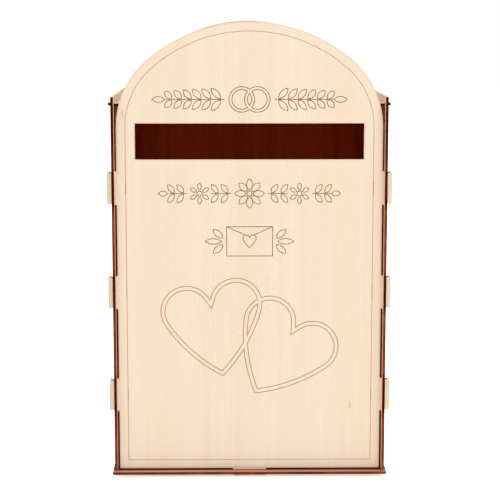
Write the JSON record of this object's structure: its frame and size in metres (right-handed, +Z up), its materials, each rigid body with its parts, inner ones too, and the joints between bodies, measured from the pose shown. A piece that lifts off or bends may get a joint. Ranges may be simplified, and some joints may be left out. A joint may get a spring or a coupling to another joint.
{
  "type": "wedding card box",
  "caption": "Arch-fronted post-box shaped card box of tabbed laser-cut plywood, with a letter slot, engraved hearts and leaves, and a hinged, locking back door.",
  "frame": {"origin": "centre of the underside of the base plate; the tenon ends that the box stands on are 3.5 mm below it", "axes": "+Z up, +X to the right as seen from the front, the engraved front faces -Y"},
  "size_m": [0.2592, 0.2272, 0.42],
  "materials": {
    "plywood": "bare sanded basswood plywood, laser-charred edges",
    "hinge_brass": "brushed",
    "bolt_brass": "polished",
    "zinc_steel": "zinc plated",
    "lock_nickel": "satin nickel",
    "key_nickel": "nickel, lightly worn"
  },
  "bodies": {
    "box": {"front_panel": "plywood", "back_panel": "plywood", "side_panel_left": "plywood", "side_panel_right": "plywood", "base_plate": "plywood", "top_plate": "plywood", "hinge_upper_frame_leaf": "hinge_brass", "hinge_upper_pin": "hinge_brass", "hinge_lower_frame_leaf": "hinge_brass", "hinge_lower_pin": "hinge_brass", "hinge_frame_bolts": "bolt_brass", "hinge_frame_nuts": "zinc_steel"},
    "door": {"back_door": "plywood", "hinge_upper_door_leaf": "hinge_brass", "hinge_lower_door_leaf": "hinge_brass", "hinge_door_bolts": "bolt_brass", "hinge_door_nuts": "zinc_steel", "lock_barrel": "lock_nickel", "lock_nut": "zinc_steel"},
    "lock_core": {"lock_plug": "lock_nickel", "lock_cam": "zinc_steel", "lock_cam_screw": "zinc_steel"},
    "key": {"lock_key": "key_nickel"}
  },
  "joints": [
    {"name": "door_hinge", "type": "hinge", "parent": "box", "child": "door", "pos_m": [0.0795, 0.0987, 0.1707], "axis": [0, 0, -1], "range_deg": [0, 160]},
    {"name": "lock_turn", "type": "hinge", "parent": "door", "child": "lock_core", "pos_m": [-0.05725, 0.097, 0.1707], "axis": [0, 1, 0], "range_deg": [0, 90]},
    {"name": "key_pull", "type": "slide", "parent": "lock_core", "child": "key", "axis": [0, 1, 0], "range_m": [0, 0.02]}
  ]
}
